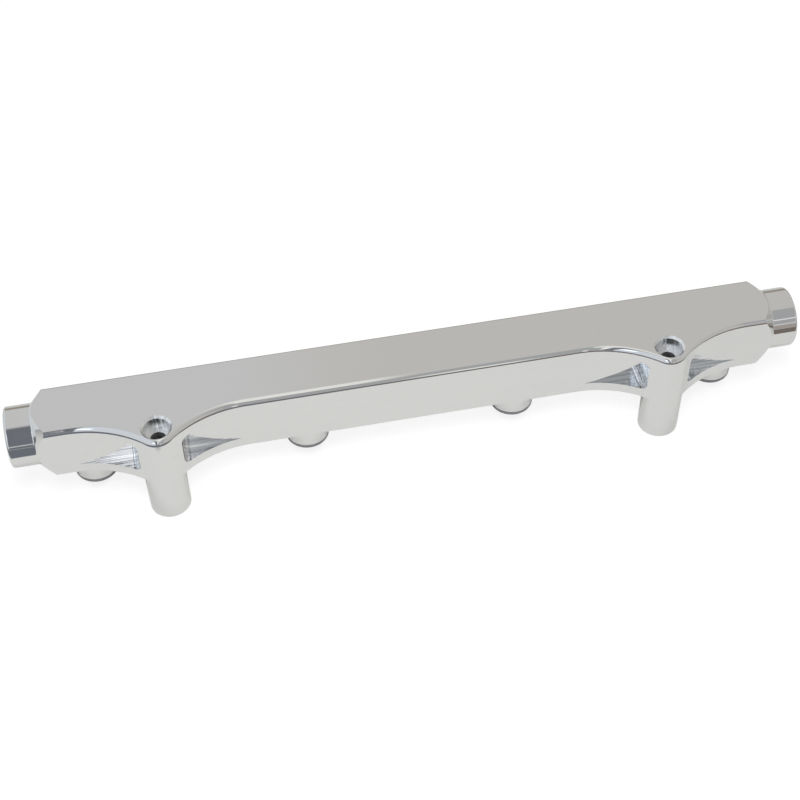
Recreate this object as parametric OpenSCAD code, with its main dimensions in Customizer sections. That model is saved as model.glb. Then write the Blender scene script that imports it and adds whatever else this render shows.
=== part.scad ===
// Billet fuel rail for four injectors in a row.
// One block of aluminium is milled all over: a square rail with a drilled gallery, four cups
// below it for the injectors, and two mounting posts joined to its face by scalloped webs.
// Origin: midway between the feet of the two posts. X runs along the rail, Z points up,
// and the posts stand on the side that faces -Y.

/* [Rail] */
// Side of the rail's square section
rail_side = 28; // [27:0.5:36]
// Rounding along both upper edges
edge_r = 2.5; // [1:0.1:3]
// Block left beyond the axis of each outer injector
end_l = 22.5; // [18:0.5:40]

/* [Gallery and end ports] */
// How far the spigots at the ends are turned down below the sides of the rail
spigot_step = 0.3; // [0.1:0.1:1.5]
// Length of each spigot, from the cone to its end face
spigot_l = 12; // [8:0.5:20]
// Rounding of the rim of each spigot
spigot_rim_r = 1.2; // [0.4:0.1:2]
// Hollow rounding where the spigot meets the cone
spigot_root_r = 1; // [0.4:0.1:2]
// Major diameter of the thread in each port
port_d = 19.05; // [14:0.05:20]
// Depth of the port, from the end face
port_l = 19; // [14:0.5:26]
// Width of the sloping O-ring seat round the mouth of the port
port_seat = 0.8; // [0.4:0.1:1.4]
// Depth of the O-ring seat
port_seat_l = 2.5; // [1.5:0.1:4]
// Shoulder at the bottom of the port, where the gallery goes on
port_shoulder = 1.5; // [0.5:0.1:4]

/* [Injector cups] */
// Distance from one injector to the next
injector_pitch = 97; // [80:0.5:120]
// Bore that takes the injector's O-ring
cup_bore_d = 13.5; // [11:0.1:16]
// Wall of each cup round that bore
cup_wall = 3.2; // [2:0.1:5]
// How far each cup stands out below the rail
cup_drop = 14.5; // [10:0.1:24]
// Depth of that bore, from the foot of the cup
cup_bore_l = 14; // [10:0.5:15]
// Lead-in chamfer of that bore
cup_chamfer = 1; // [0.4:0.1:1.4]
// Rounding outside the foot of the cup
cup_foot_r = 1.2; // [0.4:0.1:1.4]
// Feed hole from the cup up to the gallery
feed_d = 8; // [3:0.5:10]

/* [Mounting posts] */
// Distance from each post's axis in to the outer injector's axis
post_inset = 30.5; // [26:0.5:40]
// Distance from the rail's face out to the post's axis
post_out = 6; // [3:0.5:14]
// How far each post stands out below the rail
post_drop = 23.5; // [15:0.5:40]
// Clearance hole for the bolt
bolt_hole_d = 7; // [5:0.1:9]
// Counterbore for the head of the bolt
head_bore_d = 11.8; // [10:0.2:15]
// Wall of each post round the counterbore
post_wall = 3.3; // [2.5:0.1:6]
// Depth of the counterbore
head_bore_l = 7.2; // [4:0.1:12]
// Chamfer round the counterbore's mouth
head_chamfer = 1; // [0.4:0.1:1.1]

/* [Webs] */
// How far a web spreads along the rail to each side, as a multiple of how far it stands out
web_spread = 2.6; // [2:0.1:3.2]
// Thickness of the web's upper wall, over the pocket
web_top_t = 6; // [3:0.1:10]
// Thickness of the web's lower wall, under the pocket
web_floor_t = 5.1; // [3:0.1:10]
// Metal between the side of the post and the end wall of the pocket
pocket_gap = 0.4; // [0.2:0.1:3]
// Length of the level part of the pocket's roof
pocket_level = 3.7; // [3.2:0.1:9]
// Web left beyond the pocket's tip
pocket_run_out = 3.5; // [1:0.5:10]
// Radius of the pocket's falling roof
pocket_fall_r = 40; // [22:1:80]
// Radius in the corners of the pocket, as its cutter leaves it
pocket_corner_r = 3.1; // [1:0.1:3.2]

/* [Hidden] */
$fn = 96;
// Excess by which cutting solids pass the faces that they open
past = 1;
injectors = 4;

injectors_l = (injectors - 1) * injector_pitch;
block_l = injectors_l + 2 * end_l;
overall_l = block_l + 2 * spigot_l;
post_x = injectors_l / 2 - post_inset;
face_y = -rail_side / 2;
post_y = face_y - post_out;
top_z = rail_side / 2;
under_z = -top_z;
foot_z = under_z - post_drop;
cup_foot_z = under_z - cup_drop;

post_r = head_bore_d / 2 + post_wall;
cup_d = cup_bore_d + 2 * cup_wall;
spigot_r = rail_side / 2 - spigot_step;
port_seat_d = port_d + 2 * port_seat;
gallery_d = port_d - 2 * port_shoulder;

// Each flank of a web is one hollow arc, tangent to the rail's face and to the post. The spread
// is a multiple, so that Pythagoras gives the arc's radius with no root to round.
web_reach = web_spread * (post_out + post_r);
flank_r = (web_spread * web_reach + post_out - post_r) / 2;

pocket_floor_z = under_z + web_floor_t;
pocket_roof_z = top_z - web_top_t;
pocket_near = post_r + pocket_gap;
pocket_roof = pocket_near + pocket_level;
pocket_far = web_reach - pocket_run_out;

// Plan of one web, with the post's axis at x = 0 and the rail's face at y = 0
module web_plan() {
    difference() {
        polygon([
            [-web_reach, past], [-web_reach, -flank_r], [0, -post_out],
            [web_reach, -flank_r], [web_reach, past]
        ]);
        for (side = [-1, 1])
            translate([side * web_reach, -flank_r]) circle(flank_r);
    }
    translate([0, -post_out]) circle(post_r);
}

// Plan of the whole rail: a square bar, with a web round each post
module rail_plan() {
    square([overall_l, rail_side], center = true);
    for (side = [-1, 1])
        translate([side * post_x, face_y]) web_plan();
}

// Section of the waste that rounding takes off an edge: the wall is x = 0 and the top y = 0,
// with the metal at negative x and y
module rounding_waste(r) {
    difference() {
        translate([-r, -r]) square(r + past);
        translate([-r, -r]) circle(r);
    }
}

// Waste along a straight edge from x0 to x1 on the face at y = 0
module straight_waste(x0, x1) {
    translate([x0, 0, 0]) rotate([90, 0, 90]) mirror([1, 0]) linear_extrude(x1 - x0) rounding_waste(edge_r);
}

// Waste round a circle of radius r; inward is 1 when the metal is outside the circle
module round_waste(r, inward) {
    rotate_extrude($fn = 180)
        translate([r, 0]) mirror([inward, 0]) rounding_waste(edge_r);
}

// Waste round one web, in the place of its plan. The line between the centres of a flank and
// the post, which their point of contact is on, is where one part of it ends and the next begins.
module web_waste() {
    for (side = [0, 1])
        mirror([side, 0, 0]) intersection() {
            translate([web_reach, -flank_r, 0]) round_waste(flank_r, 1);
            translate([0, 0, -rail_side / 2]) linear_extrude(rail_side)
                polygon([[0, -post_out], [web_reach, -flank_r], [web_reach, past], [0, past]]);
        }
    intersection() {
        translate([0, -post_out, 0]) round_waste(post_r, 0);
        translate([0, 0, -rail_side / 2]) linear_extrude(rail_side)
            polygon([[0, -post_out], [-web_reach, -flank_r], [web_reach, -flank_r]]);
    }
}

// All the waste along the upper edges of the rail
module upper_edge_waste() {
    translate([0, 0, top_z]) {
        translate([0, face_y, 0]) {
            straight_waste(-overall_l / 2 - past, -post_x - web_reach);
            straight_waste(-post_x + web_reach, post_x - web_reach);
            straight_waste(post_x + web_reach, overall_l / 2 + past);
            for (side = [-1, 1])
                translate([side * post_x, 0, 0]) web_waste();
        }
        rotate([0, 0, 180]) translate([0, face_y, 0])
            straight_waste(-overall_l / 2 - past, overall_l / 2 + past);
    }
}

// Section of what turning takes off one end, x outwards from the side of the spigot and y along
// the rail: it leaves a cone at 45 degrees from y = 0, a rounded root, and the spigot
module turning_section() {
    root = spigot_root_r * tan(22.5);
    polygon([
        [0, root],
        [root * cos(45), -root * sin(45)],
        [rail_side, -rail_side],
        [rail_side, spigot_l + past],
        [0, spigot_l + past]
    ]);
    translate([spigot_root_r, root]) circle(spigot_root_r);
    translate([0, spigot_l]) rounding_waste(spigot_rim_r);
}

// What turning takes off the end that faces +X
module turning_waste() {
    translate([block_l / 2, 0, 0]) rotate([0, 90, 0]) rotate_extrude($fn = 180)
        translate([spigot_r, 0]) turning_section();
}

// The bar with its webs, milled and turned, before the drilling
module shaped_bar() {
    difference() {
        translate([0, 0, under_z]) linear_extrude(rail_side) rail_plan();
        upper_edge_waste();
        for (side = [0, 1])
            mirror([side, 0, 0]) turning_waste();
    }
}

// Drilled and counterbored port in the end that faces +X
module end_port() {
    translate([overall_l / 2, 0, 0]) rotate([0, -90, 0]) {
        cylinder(d = port_d, h = port_l);
        translate([0, 0, -past]) cylinder(d = port_seat_d, h = past);
        cylinder(d1 = port_seat_d, d2 = port_d, h = port_seat_l);
    }
}

// One cup, turned with its foot rounded off outside
module cup() {
    translate([0, 0, cup_foot_z]) rotate_extrude() difference() {
        square([cup_d / 2, cup_drop + past]);
        translate([cup_d / 2, 0]) mirror([0, 1]) rounding_waste(cup_foot_r);
    }
}

// Bore, lead-in and feed hole of one cup
module cup_bore() {
    translate([0, 0, cup_foot_z]) {
        translate([0, 0, -past]) cylinder(d = cup_bore_d, h = cup_bore_l + past);
        translate([0, 0, -past])
            cylinder(d1 = cup_bore_d + 2 * (cup_chamfer + past), d2 = cup_bore_d, h = cup_chamfer + past);
        cylinder(d = feed_d, h = -cup_foot_z);
    }
}

module post() {
    translate([0, 0, foot_z]) cylinder(r = post_r, h = post_drop + past);
}

// Bolt hole and counterbore down through one post
module bolt_bore() {
    translate([0, 0, foot_z - past]) cylinder(d = bolt_hole_d, h = top_z - foot_z + 2 * past);
    translate([0, 0, top_z - head_bore_l]) cylinder(d = head_bore_d, h = head_bore_l + past);
    translate([0, 0, top_z - head_chamfer])
        cylinder(d1 = head_bore_d, d2 = head_bore_d + 2 * (head_chamfer + past), h = head_chamfer + past);
}

// Outline of the pocket on one side of a post, x away from the post's axis and y upwards
module pocket_outline() {
    roof_run = pocket_far - pocket_roof;
    roof_fall = pocket_roof_z - pocket_floor_z;
    chord = sqrt(roof_run * roof_run + roof_fall * roof_fall);
    bow = sqrt(pocket_fall_r * pocket_fall_r - chord * chord / 4);
    fall_x = (pocket_roof + pocket_far) / 2 + bow * roof_fall / chord;
    fall_y = (pocket_roof_z + pocket_floor_z) / 2 + bow * roof_run / chord;
    r = pocket_corner_r;
    difference() {
        union() {
            translate([pocket_near + r, pocket_floor_z])
                square([pocket_far - pocket_near - r, roof_fall]);
            translate([pocket_near, pocket_floor_z + r]) square([2 * r, roof_fall - 2 * r]);
            for (y = [pocket_floor_z + r, pocket_roof_z - r])
                translate([pocket_near + r, y]) circle(r);
        }
        translate([fall_x, fall_y]) circle(pocket_fall_r, $fn = 180);
    }
}

// The two pockets of one web, cut back to the plane of the rail's face
module web_pockets() {
    depth = post_out + post_r + past;
    for (side = [0, 1])
        mirror([side, 0, 0]) translate([0, face_y, 0]) rotate([90, 0, 0])
            linear_extrude(depth) pocket_outline();
}

module rail() {
    color([0.81, 0.82, 0.82])
    translate([0, -post_y, -foot_z]) difference() {
        union() {
            shaped_bar();
            for (i = [0 : injectors - 1])
                translate([i * injector_pitch - injectors_l / 2, 0, 0]) cup();
            for (side = [-1, 1])
                translate([side * post_x, post_y, 0]) post();
        }
        translate([-overall_l / 2, 0, 0]) rotate([0, 90, 0])
            cylinder(d = gallery_d, h = overall_l);
        for (side = [0, 1])
            mirror([side, 0, 0]) end_port();
        for (i = [0 : injectors - 1])
            translate([i * injector_pitch - injectors_l / 2, 0, 0]) cup_bore();
        for (side = [-1, 1]) {
            translate([side * post_x, post_y, 0]) bolt_bore();
            translate([side * post_x, 0, 0]) web_pockets();
        }
    }
}

rail();
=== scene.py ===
"""Looks of a billet fuel rail: one block of bright machined aluminium on a white table."""

import math

import bpy
import numpy as np
from mathutils import Matrix, Vector


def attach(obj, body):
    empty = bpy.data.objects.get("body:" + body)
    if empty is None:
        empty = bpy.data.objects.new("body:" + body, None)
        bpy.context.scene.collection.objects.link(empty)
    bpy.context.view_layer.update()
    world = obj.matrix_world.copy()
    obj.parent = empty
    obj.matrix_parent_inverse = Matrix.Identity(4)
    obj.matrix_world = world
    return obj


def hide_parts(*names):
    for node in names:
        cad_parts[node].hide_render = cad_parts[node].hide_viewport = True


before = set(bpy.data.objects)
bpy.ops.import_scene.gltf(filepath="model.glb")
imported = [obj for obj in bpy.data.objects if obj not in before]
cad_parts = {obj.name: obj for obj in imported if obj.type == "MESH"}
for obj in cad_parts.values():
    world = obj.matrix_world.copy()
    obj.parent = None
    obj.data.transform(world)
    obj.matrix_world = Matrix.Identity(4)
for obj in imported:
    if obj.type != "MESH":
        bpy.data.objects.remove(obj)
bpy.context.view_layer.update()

MM = 0.001


# Colours and nodes

def colour(code):
    """An sRGB hex code as linear red, green, blue and alpha."""
    parts = [int(code[i:i + 2], 16) / 255 for i in (1, 3, 5)]
    return [p / 12.92 if p <= 0.04045 else ((p + 0.055) / 1.055) ** 2.4 for p in parts] + [1.0]


def add(tree, kind, inputs=(), **settings):
    """Adds a node with its settings. Inputs maps a socket to a value or to another node's output."""
    node = tree.nodes.new(kind)
    for name, value in settings.items():
        setattr(node, name, value)
    for socket, value in dict(inputs).items():
        if isinstance(value, bpy.types.NodeSocket):
            tree.links.new(value, node.inputs[socket])
        else:
            node.inputs[socket].default_value = value
    return node


def fresh_tree(owner):
    """The empty node tree of a material or world."""
    owner.use_nodes = True
    owner.node_tree.nodes.clear()
    return owner.node_tree


# Camera, as fitted to the photograph's edges

CAMERA_PLACE = Vector((-88.188, -439.753, 548.377)) * MM
CAMERA_TURN = math.radians(10.307)
CAMERA_DOWN = math.radians(48.442)
CAMERA_ROLL = math.radians(-1.259)
CAMERA_LENS = 68.665


def make_camera():
    """A camera at the photograph's place, turned from +Y towards +X, tipped down and rolled."""
    forward = Vector((
        math.sin(CAMERA_TURN) * math.cos(CAMERA_DOWN),
        math.cos(CAMERA_TURN) * math.cos(CAMERA_DOWN),
        -math.sin(CAMERA_DOWN),
    ))
    level = Vector((math.cos(CAMERA_TURN), -math.sin(CAMERA_TURN), 0))
    rise = level.cross(forward)
    right = math.cos(CAMERA_ROLL) * level + math.sin(CAMERA_ROLL) * rise
    up = math.cos(CAMERA_ROLL) * rise - math.sin(CAMERA_ROLL) * level
    data = bpy.data.cameras.new("camera")
    data.lens = CAMERA_LENS
    data.sensor_width = 36
    camera = bpy.data.objects.new("camera", data)
    turn = Matrix((right, up, -forward)).transposed().to_4x4()
    camera.matrix_world = Matrix.Translation(CAMERA_PLACE) @ turn
    bpy.context.scene.collection.objects.link(camera)
    bpy.context.scene.camera = camera


# Studio. The rail is a mirror, so what stands round it is what gives it its tones.

# Each card is (tone, how bright, degrees from and to, x from and to, soft degrees, soft x). Degrees
# go up from the horizon behind the rail, over it and down in front of it, from 0 to 180, and x is
# how far a mirrored ray leans to the right, from -1 to 1, and WIDE is past them all. Later cards
# stand in front of earlier ones.
WIDE = 2.0
CARDS = (
    ("#dadfe3", 1.00, -90, 190, -WIDE, -0.200, 20, 0.10),   # window on the left, a little blue
    ("#d9dfe6", 1.00, 60, 190, -0.620, -0.235, 12, 0.03),   # its middle
    ("#eef7ff", 1.70, 122, 143, -0.400, -0.225, 5, 0.03),   # sun on its sill
    ("#bcbcb9", 1.00, -90, 190, 0.420, WIDE, 20, 0.10),     # pale wall on the right
    ("#9c958b", 1.00, -90, 13, -0.200, WIDE, 6, 0.06),      # tan wall behind the table
    ("#c9c7c3", 1.00, 13, 104, -0.160, WIDE, 4, 0.06),      # soft box overhead, a little warm
    ("#cfcfcf", 1.00, 13, 104, -0.160, 0.060, 4, 0.12),     # its near end, less warm
    ("#f0f0ec", 1.00, 62, 121, -0.075, 0.115, 8, 0.03),     # bare lamp over the camera
    ("#72757c", 1.00, 101, 200, -0.235, -0.088, 12, 0.02),  # dark doorway left of the camera
    ("#cfd3d8", 1.00, 94, 170, -0.085, -0.032, 6, 0.012),   # screen between doorway and camera
    ("#ffffff", 1.25, 121, 149, -0.092, -0.032, 5, 0.010),  # lamp on that screen
    ("#f0f0ec", 1.00, 157, 181, 0.130, 0.205, 5, 0.02),     # reflector right of the camera
    ("#c8c8ca", 1.00, 168, 172, -0.200, -0.090, 1, 0.02),   # strip of light in the doorway
    ("#eff0f1", 1.00, 142, 146, 0.300, WIDE, 1, 0.02),      # edge of a reflector on the right
    ("#cfcdcf", 1.00, 160, 165, 0.300, WIDE, 1, 0.02),      # a second edge, less bright
    ("#a89f98", 1.00, 168, 181, 0.300, WIDE, 2, 0.02),      # brown floor in front, on the right
)
# What shows between the cards
ROOM = "#abacad"
# How bright the even sky is that lights matt things, shadows too
SKY = 0.35
WHITE = (1, 1, 1, 1)

# The lamps that light the table: place, width in metres and power in watts
LAMPS = (((-0.08, -0.42, 0.85), 0.30, 3.7), ((0.0, 0.06, 0.90), 0.25, 1.1))

# Half the side of the table, in metres
TABLE_REACH = 1.5
# The front edge of the paper that lies on the table, as its y at x = 0, how it slants and how soft
# it is, and the dark table top in front of it. Only reflections show them.
PAPER_FRONT, PAPER_SLANT, PAPER_SOFT = -0.069, -0.147, 0.003
# The table top glows at these tones, bluish on the left and warm on the right: painted light for the
# lit table top, with no light or shadow of its own
TABLE_TOP_LEFT, TABLE_TOP_RIGHT, TABLE_TURN = "#70747d", "#776f69", 0.12
# The paper as the metal sees it, and how much light it sends to the camera
PAPER, PAPER_TO_CAMERA = "#f1f1ee", 0.30
# How bright it glows to the camera besides, how far from the rail that starts to rise, and from
# where it is all white
GLOW, SHADE_END, WHITE_START = 0.80, 0.35, 0.90


def window(tree, value, start, end, soft):
    """One between start and end, and nothing outside, with smooth sides as wide as soft."""
    sides = [
        add(tree, "ShaderNodeMapRange", {
            "Value": value, "From Min": place - soft / 2, "From Max": place + soft / 2,
            "To Min": low, "To Max": 1 - low}, interpolation_type="SMOOTHSTEP").outputs[0]
        for place, low in ((start, 0), (end, 1))]
    return add(tree, "ShaderNodeMath", dict(enumerate(sides)), operation="MULTIPLY").outputs[0]


def make_world():
    """White for the camera, a room with soft cards for reflections, an even sky for matt things."""
    world = bpy.data.worlds.new("studio")
    bpy.context.scene.world = world
    tree = fresh_tree(world)
    look = add(tree, "ShaderNodeTexCoord").outputs["Generated"]
    axis = add(tree, "ShaderNodeSeparateXYZ", {"Vector": look})
    over = add(tree, "ShaderNodeMath", {
        0: axis.outputs["Z"], 1: axis.outputs["Y"]}, operation="ARCTAN2")
    angle = add(tree, "ShaderNodeMath", {0: over.outputs[0]}, operation="DEGREES").outputs[0]
    seen = colour(ROOM)
    for code, bright, low, high, left, right, soft, soft_x in CARDS:
        share = add(tree, "ShaderNodeMath", {
            0: window(tree, angle, low, high, soft),
            1: window(tree, axis.outputs["X"], left, right, soft_x)}, operation="MULTIPLY")
        card = add(tree, "ShaderNodeMix", {
            "Factor": share.outputs[0], "A": seen,
            "B": [bright * part for part in colour(code)]}, data_type="RGBA")
        seen = card.outputs["Result"]
    path = add(tree, "ShaderNodeLightPath")
    room = add(tree, "ShaderNodeBackground", {"Color": seen})
    sky = add(tree, "ShaderNodeBackground", {"Color": WHITE, "Strength": SKY})
    white = add(tree, "ShaderNodeBackground", {"Color": WHITE})
    matt = add(tree, "ShaderNodeMixShader", {
        0: path.outputs["Is Diffuse Ray"], 1: room.outputs[0], 2: sky.outputs[0]})
    mix = add(tree, "ShaderNodeMixShader", {
        0: path.outputs["Is Camera Ray"], 1: matt.outputs[0], 2: white.outputs[0]})
    add(tree, "ShaderNodeOutputWorld", {"Surface": mix.outputs[0]})


def make_lamp(place, width, power):
    """A soft round lamp that looks at the middle of the rail. The cards stand for it in the metal."""
    data = bpy.data.lights.new("soft lamp", "AREA")
    data.shape, data.size, data.energy = "DISK", width, power
    lamp = bpy.data.objects.new("soft lamp", data)
    lamp.location = place
    lamp.rotation_euler = (-Vector(place)).to_track_quat("-Z", "Y").to_euler()
    lamp.visible_glossy = False
    bpy.context.scene.collection.objects.link(lamp)


def make_table():
    """A flat table under the feet, all white at its edges so that they don't show."""
    signs = ((-1, -1), (1, -1), (1, 1), (-1, 1))
    corners = [(x * TABLE_REACH, y * TABLE_REACH, 0) for x, y in signs]
    mesh = bpy.data.meshes.new("table")
    mesh.from_pydata(corners, [], [(0, 1, 2, 3)])
    table = bpy.data.objects.new("table", mesh)
    bpy.context.scene.collection.objects.link(table)
    mesh.materials.append(white_paper())


def white_paper():
    """Matt white paper that keeps the rail's shadow. The camera sees it white everywhere, and the
    metal sees it end at a front edge, with the dark table top beyond, which glows at fixed tones as
    painted light instead of being lit."""
    material = bpy.data.materials.new("white paper, matt")
    tree = fresh_tree(material)
    path = add(tree, "ShaderNodeLightPath")
    spot = add(tree, "ShaderNodeTexCoord").outputs["Object"]
    axis = add(tree, "ShaderNodeSeparateXYZ", {"Vector": spot})
    edge = add(tree, "ShaderNodeMath", {
        0: axis.outputs["X"], 1: PAPER_SLANT, 2: PAPER_FRONT}, operation="MULTIPLY_ADD")
    past_edge = add(tree, "ShaderNodeMath", {
        0: axis.outputs["Y"], 1: edge.outputs[0]}, operation="SUBTRACT")
    on_paper = add(tree, "ShaderNodeMapRange", {
        "Value": past_edge.outputs[0], "From Min": -PAPER_SOFT, "From Max": PAPER_SOFT})
    paper = add(tree, "ShaderNodeBsdfDiffuse", {"Color": colour(PAPER)})
    to_right = add(tree, "ShaderNodeMapRange", {
        "Value": axis.outputs["X"], "From Min": -TABLE_TURN, "From Max": TABLE_TURN})
    table_top_glow = add(tree, "ShaderNodeMix", {
        "Factor": to_right.outputs[0], "A": colour(TABLE_TOP_LEFT), "B": colour(TABLE_TOP_RIGHT),
    }, data_type="RGBA")
    # An emission: painted light for the table top as the metal sees it
    top = add(tree, "ShaderNodeEmission", {"Color": table_top_glow.outputs["Result"]})
    mirrored_floor = add(tree, "ShaderNodeMixShader", {
        0: on_paper.outputs[0], 1: top.outputs[0], 2: paper.outputs[0]})
    faint = add(tree, "ShaderNodeBsdfDiffuse", {"Color": (PAPER_TO_CAMERA,) * 3 + (1,)})
    far = add(tree, "ShaderNodeVectorMath", {0: spot}, operation="LENGTH")
    strength = add(tree, "ShaderNodeMapRange", {
        "Value": far.outputs["Value"], "From Min": SHADE_END, "From Max": WHITE_START,
        "To Min": GLOW, "To Max": 1.0})
    glow = add(tree, "ShaderNodeEmission", {"Color": WHITE, "Strength": strength.outputs[0]})
    shown = add(tree, "ShaderNodeAddShader", {0: faint.outputs[0], 1: glow.outputs[0]})
    both = add(tree, "ShaderNodeMixShader", {
        0: path.outputs["Is Glossy Ray"], 1: shown.outputs[0], 2: mirrored_floor.outputs[0]})
    add(tree, "ShaderNodeOutputMaterial", {"Surface": both.outputs[0]})
    return material


# Metal. Real cutter lines are some tenths of a millimetre apart and a few microns deep, too fine to
# show, so they are drawn as coarse and as deep as they need to be for the eye to find them.

# The metal's own tone, and the same a shade darker: painted shade in the feet of its lines
BRIGHT, BRIGHT_SHADED_LINE_FEET = "#eaeaea", "#e9e9e9"
# Between which heights of the noise a line goes from its foot to its crest
LINE_FOOT, LINE_CREST = 0.35, 0.65
# How much rougher the metal is in the foot of a line, and smoother on its crest
UNEVEN = 0.15
MICRON = 1e-6


def aluminium(name, roughness, grain, depth, light=BRIGHT, dark=BRIGHT_SHADED_LINE_FEET):
    """Bare aluminium whose cutter lines are noise drawn out along one way. Grain is the size of
    that noise along x, y and z in millimetres, and depth is how deep the lines are, in microns.
    Light is the tone on the lines' crests and dark the tone in their feet, which is painted shade
    standing in for shadow held in the grooves."""
    material = bpy.data.materials.new(name)
    tree = fresh_tree(material)
    spot = add(tree, "ShaderNodeTexCoord").outputs["Object"]
    scaled = add(tree, "ShaderNodeMapping", {
        "Vector": spot, "Scale": [1 / (size * MM) for size in grain]})
    lines = add(tree, "ShaderNodeTexNoise", {
        "Vector": scaled.outputs[0], "Scale": 1.0, "Detail": 2.0})
    bump = add(tree, "ShaderNodeBump", {
        "Height": lines.outputs["Fac"], "Strength": 1.0, "Distance": depth * MICRON})
    crest = add(tree, "ShaderNodeMapRange", {
        "Value": lines.outputs["Fac"], "From Min": LINE_FOOT, "From Max": LINE_CREST})
    rough = add(tree, "ShaderNodeMapRange", {
        "Value": crest.outputs[0],
        "To Min": roughness * (1 + UNEVEN), "To Max": roughness * (1 - UNEVEN)})
    # Darker in the feet of the lines than on their crests: painted shade for the grooves
    tone = add(tree, "ShaderNodeMix", {
        "Factor": crest.outputs[0], "A": colour(dark), "B": colour(light)}, data_type="RGBA")
    metal = add(tree, "ShaderNodeBsdfPrincipled", {
        "Base Color": tone.outputs["Result"], "Metallic": 1.0, "Roughness": rough.outputs[0],
        "Normal": bump.outputs[0]})
    add(tree, "ShaderNodeOutputMaterial", {"Surface": metal.outputs[0]})
    return material


# Milled and then buffed along the rail: a clear mirror with faint lines along it
BUFFED = aluminium("aluminium, milled and buffed", 0.07, (60, 1.1, 1.1), 6)
# Turned in a lathe: a clear mirror with faint rings
TURNED = aluminium("aluminium, turned and buffed", 0.05, (0.7, 9, 9), 2)
# Milled and left so: the cutter's passes along the rail streak what the pockets' walls mirror.
# Its tone is painted whiter than bare aluminium, painted light for the light bounced round inside
# the pockets, and darker in the feet of the lines, painted shade
MILLED = aluminium("aluminium, milled", 0.08, (70, 1.5, 1.5), 150, "#fbfcfd", "#d0d2d5")
# Bored and left so: upright light and dark streaks on the walls of the counterbores and cups.
# Its tone is painted pure white, whiter than bare aluminium, as painted light for the light bounced
# round inside the bores, and a little darker in the streaks' feet, painted shade
BORED = aluminium("aluminium, bored", 0.30, (1.5, 1.5, 16), 380, "#ffffff", "#e8e9ea")
# Drilled: a torn, dull wall
DRILLED = aluminium("aluminium, drilled", 0.5, (2, 2, 0.8), 30)
# Turned, at the foot of a cup: rough and dull, and painted dark, painted shade for the mirrored
# shadow of the floor under the rail
DULL_AND_PAINTED_SHADE = aluminium("aluminium, turned, dull and painted dark as shade", 0.4, (1, 1, 0.5), 10, "#96989b", "#85878b")


# Shape, in millimetres from the point midway between the posts' feet. The rail lies along x, its
# posts stand in front of it, on the side of -y, and z goes up.

# The bar: its axis, how thick it is, its faces, and where its block and its spigots end
AXIS_Y, AXIS_Z = 20.0, 37.5
SIDE = 28.0
FACE_Y, BACK_Y = AXIS_Y - SIDE / 2, AXIS_Y + SIDE / 2
UNDER_Z, TOP_Z = AXIS_Z - SIDE / 2, AXIS_Z + SIDE / 2
BLOCK_X, END_X = 168.0, 180.0
# The rounding of the upper edge, and how far sharp edges are broken
EDGE_R, EDGE_BREAK = 2.5, 0.25
# The posts, and the webs' hollow flanks: how far along the face they reach, and their radius
POST_X = (-115.0, 115.0)
POST_R = 9.2
WEB_REACH, FLANK_R = 39.52, 49.776
# The cups, and the height up to which their feet are dull and painted dark as shade
CUP_X = (-145.5, -48.5, 48.5, 145.5)
CUP_R, CUP_FOOT_R, CUP_FOOT_Z, DULL_Z = 9.95, 1.2, 9.0, 11.6
CUP_BORE_R, CUP_BORE_L, CUP_LEAD_IN, FEED_R = 6.75, 14.0, 1.0, 4.0
# The spigots, and the port in each: its sloping seat, and its thread, 3/4 inch across with 16
# turns to the inch
SPIGOT_R, SPIGOT_RIM_R, SPIGOT_ROOT_R = 13.7, 1.2, 1.0
GALLERY_R = 8.025
PORT_L, SEAT, SEAT_L = 19.0, 0.8, 2.5
CREST_R, ROOT_R, PITCH = 8.75, 9.525, 1.5875
# How far the thread starts inside the mouth, and how much of the port it leaves plain
THREAD_START, THREAD_PLAIN = 0.6, 3.5
# How far the groove's tool stands out past the crests, and how far it stays short of the root
GROOVE_OUT, GROOVE_OFF = 0.12, 0.01
# The bolts' holes with the counterbores for their heads
BOLT_R, HEAD_R, HEAD_L, HEAD_CHAMFER = 3.5, 5.9, 7.2, 1.0
# The pockets: from a post's axis to the end wall, to where the roof falls and to the tip, then
# floor and roof, and the radii of the corners and of the roof's fall
POCKET_NEAR, POCKET_ROOF, POCKET_FAR = 9.6, 13.3, 36.02
POCKET_FLOOR_Z, POCKET_ROOF_Z = AXIS_Z - 8.9, AXIS_Z + 8.0
POCKET_CORNER_R, POCKET_FALL_R = 3.1, 40.0
# How far a tool goes past what it cuts, and the bar past the ends that are turned off
PAST, BAR_PAST, BLANK_PAST = 1.0, 4, 26.0


def line(*points):
    """Straight steps through the points. Each faces to the right of the way it goes."""
    points = np.array(points, float)
    steps = np.diff(points, axis=0)
    out = np.stack([steps[:, 1], -steps[:, 0]], axis=1) / np.linalg.norm(steps, axis=1)[:, None]
    return [(points[i:i + 2], out[[i, i]]) for i in range(len(steps))]


def arc(centre, radius, start, end, steps):
    """Points centre + radius (cos a, sin a), where a goes from start to end in degrees. The arc
    faces away from its centre where a grows, and towards it where a falls."""
    a = np.radians(np.linspace(start, end, steps + 1))
    ray = np.stack([np.cos(a), np.sin(a)], axis=1)
    return [(np.array(centre) + radius * ray, ray * np.sign(end - start))]


def outline(*runs):
    """Runs end to end with the metal on their left: the points, and the way that the surface
    faces at the start and at the end of each step."""
    pieces = [piece for run in runs for piece in run]
    points = np.concatenate([spots[:-1] for spots, out in pieces] + [pieces[-1][0][-1:]])
    first = np.concatenate([out[:-1] for spots, out in pieces])
    last = np.concatenate([out[1:] for spots, out in pieces])
    return points, first, last


def mirrored(points, first, last):
    """The outline turned round in its first coordinate, with the metal still on its left."""
    flip = np.array([-1.0, 1.0])
    return points[::-1] * flip, last[::-1] * flip, first[::-1] * flip


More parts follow.
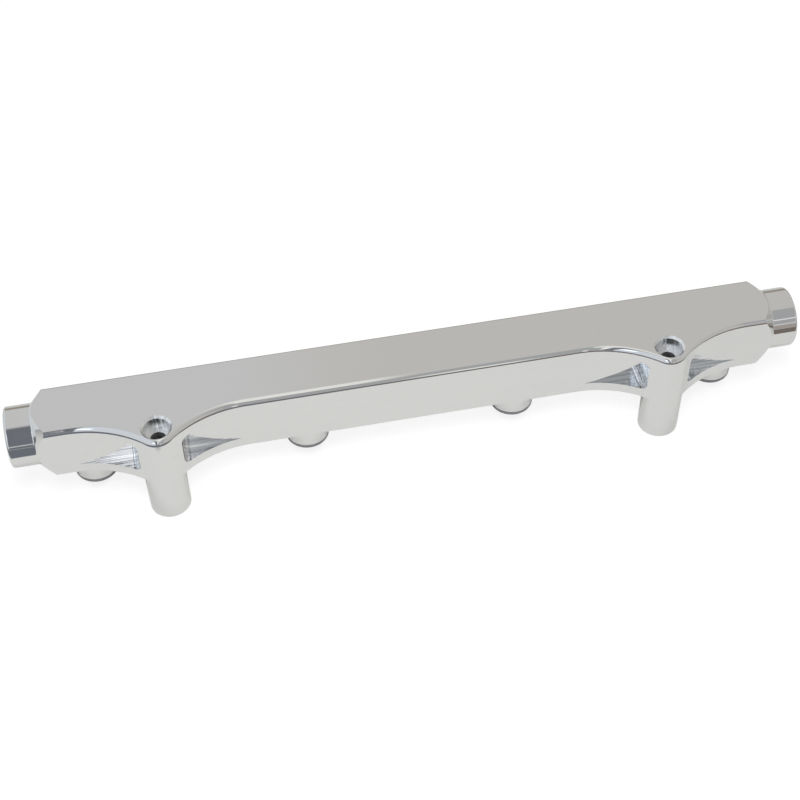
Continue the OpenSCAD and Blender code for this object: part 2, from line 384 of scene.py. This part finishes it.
def ring(steps):
    """A circle of no radius. A profile carried round it is a turned solid."""
    points, first, last = outline(arc((0, 0), 1.0, 0, 360, steps))
    return points * 0, first, last


# What takes (first and second coordinate of the plan, height of the profile) to (x, y, z)
UPRIGHT = np.eye(3)
ALONG_X = np.array([[0.0, 1.0, 0.0], [0.0, 0.0, 1.0], [1.0, 0.0, 0.0]])
TO_FRONT = np.array([[1.0, 0.0, 0.0], [0.0, 0.0, 1.0], [0.0, -1.0, 0.0]])


def carried(plan, profile, turn=UPRIGHT, place=(0, 0, 0)):
    """A closed solid, from a profile carried round a closed plan. Its points are plan + out * m at
    height z, for each (out, z) of the profile, where m is the way that the plan faces, and at a
    corner of the plan the sum of both ways over one plus their product."""
    points, first, last = plan
    before = np.roll(last, 1, axis=0)
    way = (before + first) / (1 + np.sum(before * first, axis=1))[:, None]
    rows, row_first, row_last = profile
    spots = np.zeros((len(first), len(rows), 3))
    spots[..., :2] = points[:-1, None] + rows[None, :, :1] * way[:, None]
    spots[..., 2] = rows[:, 1]
    facing = np.zeros((len(first), len(rows) - 1, 4, 3))
    corners = ((first, row_first), (last, row_first), (last, row_last), (first, row_last))
    for corner, (across, up) in enumerate(corners):
        facing[:, :, corner, :2] = across[:, None] * up[None, :, :1]
        facing[:, :, corner, 2] = up[None, :, 1]
    return closed_grid(spots @ turn + np.array(place, float), facing @ turn)


def closed_grid(spots, facing):
    """Points, faces and facings of a grid that closes on itself along its first index. A flat cap
    closes it at both ends of its second index."""
    across, up = spots.shape[:2]
    number = np.arange(across * up).reshape(across, up)
    beside = np.roll(number, -1, axis=0)
    quads = np.stack([number[:, :-1], beside[:, :-1], beside[:, 1:], number[:, 1:]], axis=-1)
    flat = spots.reshape(-1, 3)
    caps = [number[::-1, 0], number[:, -1]]
    areas = [np.cross(flat[cap], np.roll(flat[cap], -1, axis=0)).sum(axis=0) for cap in caps]
    cap_facing = [np.tile(area / np.linalg.norm(area), (across, 1)) for area in areas]
    faces = quads.reshape(-1, 4).tolist() + [cap.tolist() for cap in caps]
    return flat, faces, np.concatenate([facing.reshape(-1, 3)] + cap_facing)


def thread_groove(side, steps=72):
    """The groove of one port's thread, as a solid: a section of 60 degrees carried along a helix.
    Its points are (x, r cos a, r sin a), where x falls by one pitch for each turn of a, and r and
    the shift along x come from the section."""
    flat = PITCH / 16
    crest, root = CREST_R - GROOVE_OUT, ROOT_R - GROOVE_OFF
    half = (root - crest) * math.tan(math.radians(30)) + flat
    section = np.array([[crest, half], [crest, -half], [root, -flat], [root, flat]])
    length = PORT_L - THREAD_PLAIN
    a = np.linspace(0, 2 * math.pi * length / PITCH, int(steps * length / PITCH))
    x = side * (END_X - THREAD_START - a / (2 * math.pi) * PITCH)
    spots = np.zeros((4, len(a), 3))
    spots[..., 0] = x + section[:, None, 1]
    spots[..., 1] = AXIS_Y + section[:, None, 0] * np.cos(a)
    spots[..., 2] = AXIS_Z + section[:, None, 0] * np.sin(a)
    edge = np.roll(section, -1, axis=0) - section
    edge = edge / np.linalg.norm(edge, axis=1)[:, None]
    facing = np.zeros((4, len(a) - 1, 4, 3))
    for corner, turned in enumerate((a[:-1], a[:-1], a[1:], a[1:])):
        facing[:, :, corner, 0] = edge[:, None, 0]
        facing[:, :, corner, 1] = -edge[:, None, 1] * np.cos(turned)
        facing[:, :, corner, 2] = -edge[:, None, 1] * np.sin(turned)
    return closed_grid(spots, facing)


def solid(name, finish, *shapes):
    """One object of closed shapes that stand apart, in one finish. The facing of each corner is
    kept with it, and the cutting carries it over to what it leaves of each face."""
    spots, faces, facing, count = [], [], [], 0
    for shape_spots, shape_faces, shape_facing in shapes:
        spots.append(shape_spots)
        faces += [[number + count for number in face] for face in shape_faces]
        facing.append(shape_facing)
        count += len(shape_spots)
    mesh = bpy.data.meshes.new(name)
    mesh.from_pydata(np.concatenate(spots) * MM, [], faces)
    mesh.materials.append(finish)
    store = mesh.attributes.new("facing", "FLOAT_VECTOR", "CORNER")
    store.data.foreach_set("vector", np.concatenate(facing).ravel())
    thing = bpy.data.objects.new(name, mesh)
    bpy.context.scene.collection.objects.link(thing)
    return thing


def rail_plan():
    """The contour from above: a bar, and at each post a hollow arc, the round and another arc."""
    ends = END_X + BAR_PAST
    flank_y = FACE_Y - FLANK_R
    slope = math.degrees(math.atan2(-flank_y, WEB_REACH))
    runs, start = [], -ends
    for x in POST_X:
        runs += [
            line((start, FACE_Y), (x - WEB_REACH, FACE_Y)),
            arc((x - WEB_REACH, flank_y), FLANK_R, 90, slope, 56),
            arc((x, 0), POST_R, 180 + slope, 360 - slope, 48),
            arc((x + WEB_REACH, flank_y), FLANK_R, 180 - slope, 90, 56),
        ]
        start = x + WEB_REACH
    runs.append(line(
        (start, FACE_Y), (ends, FACE_Y), (ends, BACK_Y), (-ends, BACK_Y), (-ends, FACE_Y)))
    return outline(*runs)


def bar():
    """The bar with its webs: straight sides, a rounded upper edge and a broken lower one."""
    return carried(rail_plan(), outline(
        arc((-EDGE_BREAK, UNDER_Z + EDGE_BREAK), EDGE_BREAK, -90, 0, 4),
        line((0, UNDER_Z + EDGE_BREAK), (0, TOP_Z - EDGE_R)),
        arc((-EDGE_R, TOP_Z - EDGE_R), EDGE_R, 0, 90, 18),
    ))


def turned_envelope():
    """What turning leaves at the ends: a cone at 45 degrees, a hollow root, a spigot with a rim."""
    root = SPIGOT_ROOT_R * math.tan(math.radians(22.5))
    slant = root * math.sqrt(0.5)
    wide = BLANK_PAST
    half = outline(
        line((SPIGOT_R + wide, 0), (SPIGOT_R + wide, BLOCK_X - wide),
             (SPIGOT_R + slant, BLOCK_X - slant)),
        arc((SPIGOT_R + SPIGOT_ROOT_R, BLOCK_X + root), SPIGOT_ROOT_R, 225, 180, 8),
        line((SPIGOT_R, BLOCK_X + root), (SPIGOT_R, END_X - SPIGOT_RIM_R)),
        arc((SPIGOT_R - SPIGOT_RIM_R, END_X - SPIGOT_RIM_R), SPIGOT_RIM_R, 0, 90, 12),
    )
    return carried(ring(192), both_ends(half), ALONG_X, (0, AXIS_Y, AXIS_Z))


def both_ends(half):
    """A profile from its middle to the upper end, with the same turned round below it."""
    points, first, last = half
    flip = np.array([1.0, -1.0])
    return (np.concatenate([points[:0:-1] * flip, points]),
            np.concatenate([last[::-1] * flip, first]), np.concatenate([first[::-1] * flip, last]))


def post(x):
    """A post's foot: a cylinder with the web's own points where it meets the web."""
    slope = math.degrees(math.atan2(FLANK_R - FACE_Y, WEB_REACH))
    plan = outline(
        arc((x, 0), POST_R, 180 + slope, 360 - slope, 48),
        arc((x, 0), POST_R, -slope, 180 + slope, 124),
    )
    return carried(plan, outline(
        arc((-EDGE_BREAK, EDGE_BREAK), EDGE_BREAK, -90, 0, 4),
        line((0, EDGE_BREAK), (0, UNDER_Z + PAST)),
    ))


def cup(x):
    """A cup with a rounded foot."""
    return carried(ring(160), outline(
        arc((CUP_R - CUP_FOOT_R, CUP_FOOT_Z + CUP_FOOT_R), CUP_FOOT_R, -90, 0, 12),
        line((CUP_R, CUP_FOOT_Z + CUP_FOOT_R), (CUP_R, DULL_Z), (CUP_R, UNDER_Z + PAST)),
    ), place=(x, AXIS_Y, 0))


def cup_bore(x):
    """The bore of a cup, with its lead-in, its shoulder and the feed hole up to the gallery."""
    mouth = CUP_LEAD_IN + PAST
    shoulder = CUP_FOOT_Z + CUP_BORE_L
    return carried(ring(144), outline(line(
        (CUP_BORE_R + mouth, CUP_FOOT_Z - PAST), (CUP_BORE_R, CUP_FOOT_Z + CUP_LEAD_IN),
        (CUP_BORE_R, shoulder), (FEED_R, shoulder), (FEED_R, AXIS_Z),
    )), place=(x, AXIS_Y, 0))


def bolt_hole(x):
    """The bolt's hole down through a post, with its mouth broken at the foot."""
    return carried(ring(96), outline(line(
        (BOLT_R + EDGE_BREAK + PAST, -PAST), (BOLT_R, EDGE_BREAK), (BOLT_R, TOP_Z),
    )), place=(x, 0, 0))


def counterbore(x):
    """The counterbore for the bolt's head, with a chamfer round its mouth."""
    mouth = HEAD_CHAMFER + PAST
    return carried(ring(144), outline(line(
        (HEAD_R, TOP_Z - HEAD_L), (HEAD_R, TOP_Z - HEAD_CHAMFER), (HEAD_R + mouth, TOP_Z + PAST),
    )), place=(x, 0, 0))


def gallery():
    """The gallery from end to end, with a port and its sloping seat at both ends."""
    port = END_X - PORT_L
    half = outline(line(
        (GALLERY_R, 0), (GALLERY_R, port), (CREST_R, port), (CREST_R, END_X - SEAT_L),
        (ROOT_R, END_X - SEAT_L), (ROOT_R + SEAT, END_X), (ROOT_R + SEAT, END_X + PAST),
    ))
    return carried(ring(160), both_ends(half), ALONG_X, (0, AXIS_Y, AXIS_Z))


def pocket(x, side):
    """One pocket: a level floor, an upright end by the post with two rounded corners, and a roof
    that is level and then falls in an arc through both of its ends."""
    roof, far = np.array([POCKET_ROOF, POCKET_ROOF_Z]), np.array([POCKET_FAR, POCKET_FLOOR_Z])
    chord = np.linalg.norm(far - roof)
    bow = math.sqrt(POCKET_FALL_R ** 2 - chord ** 2 / 4)
    across = np.array([roof[1] - far[1], far[0] - roof[0]]) / chord
    centre = (roof + far) / 2 + bow * across
    from_far, from_roof = far - centre, roof - centre
    inner = POCKET_NEAR + POCKET_CORNER_R
    high, low = POCKET_ROOF_Z - POCKET_CORNER_R, POCKET_FLOOR_Z + POCKET_CORNER_R
    plan = outline(
        line((inner, POCKET_FLOOR_Z), tuple(far)),
        arc(centre, POCKET_FALL_R, math.degrees(math.atan2(from_far[1], from_far[0])),
            math.degrees(math.atan2(from_roof[1], from_roof[0])), 40),
        line(tuple(roof), (inner, POCKET_ROOF_Z)),
        arc((inner, high), POCKET_CORNER_R, 90, 180, 16),
        line((POCKET_NEAR, high), (POCKET_NEAR, low)),
        arc((inner, low), POCKET_CORNER_R, 180, 270, 16),
    )
    if side < 0:
        plan = mirrored(*plan)
    depth = outline(line((0, 0), (0, POST_R + FACE_Y + PAST)))
    return carried(plan, depth, TO_FRONT, (x, FACE_Y, 0))


def cut(thing, tool, operation):
    """Joins, cuts or keeps what two solids share. The tool is then gone."""
    step = thing.modifiers.new(operation, "BOOLEAN")
    step.operation, step.object, step.solver = operation, tool, "MANIFOLD"
    step.material_mode = "TRANSFER"
    graph = bpy.context.evaluated_depsgraph_get()
    mesh = bpy.data.meshes.new_from_object(thing.evaluated_get(graph), depsgraph=graph)
    thing.modifiers.clear()
    thing.data = mesh
    bpy.data.objects.remove(tool)


def face_truly(mesh):
    """Shades each corner by the facing it has kept, turned round where a cut turned its face."""
    facing = np.empty(len(mesh.loops) * 3)
    mesh.attributes["facing"].data.foreach_get("vector", facing)
    facing = facing.reshape(-1, 3)
    flat = np.empty(len(mesh.polygons) * 3)
    mesh.polygons.foreach_get("normal", flat)
    sizes = np.empty(len(mesh.polygons), int)
    mesh.polygons.foreach_get("loop_total", sizes)
    flat = np.repeat(flat.reshape(-1, 3), sizes, axis=0)
    facing *= np.where(np.sum(facing * flat, axis=1) < 0, -1.0, 1.0)[:, None]
    facing /= np.maximum(np.linalg.norm(facing, axis=1), 1e-9)[:, None]
    mesh.polygons.foreach_set("use_smooth", np.ones(len(mesh.polygons), bool))
    mesh.normals_split_custom_set(facing)
    mesh.attributes.remove(mesh.attributes["facing"])


def shade_cup_feet(mesh):
    """Gives the feet of the cups their dull finish, painted dark as painted shade for the mirrored
    shadow under the rail, outside and below: the faces whose middles are below its height, behind
    the posts, and farther from a cup's axis than its bore."""
    middle = np.empty(len(mesh.polygons) * 3)
    mesh.polygons.foreach_get("center", middle)
    x, y, z = middle.reshape(-1, 3).T / MM
    finish = np.empty(len(mesh.polygons), int)
    mesh.polygons.foreach_get("material_index", finish)
    outside = np.min([np.hypot(x - cup_x, y - AXIS_Y) for cup_x in CUP_X], axis=0) > CUP_BORE_R
    # These faces get the dark finish: painted shade at the cups' feet
    finish[(z < DULL_Z) & (y > POST_R + PAST / 2) & outside] = len(mesh.materials)
    mesh.materials.append(DULL_AND_PAINTED_SHADE)
    mesh.polygons.foreach_set("material_index", finish)


def machined_rail():
    """The rail, made in the order of the real work: bar, ends, posts and cups, then the drilling."""
    rail = solid("machined_rail", BUFFED, bar())
    cut(rail, solid("ends", TURNED, turned_envelope()), "INTERSECT")
    cut(rail, solid("feet", BUFFED, *map(post, POST_X), *map(cup, CUP_X)), "UNION")
    pockets = [pocket(x, side) for x in POST_X for side in (-1, 1)]
    cut(rail, solid("pockets", MILLED, *pockets), "DIFFERENCE")
    cut(rail, solid("bolt_holes", DRILLED, *map(bolt_hole, POST_X)), "DIFFERENCE")
    cut(rail, solid("bores", BORED, gallery(), *map(counterbore, POST_X)), "DIFFERENCE")
    cut(rail, solid("cup_bores", BORED, *map(cup_bore, CUP_X)), "DIFFERENCE")
    cut(rail, solid("threads", BORED, thread_groove(-1), thread_groove(1)), "DIFFERENCE")
    face_truly(rail.data)
    shade_cup_feet(rail.data)
    return rail


make_camera()
make_world()
for lamp in LAMPS:
    make_lamp(*lamp)
make_table()

rail = machined_rail()
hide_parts("rail")
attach(rail, "root")

bpy.context.scene.view_settings.view_transform = "Standard"
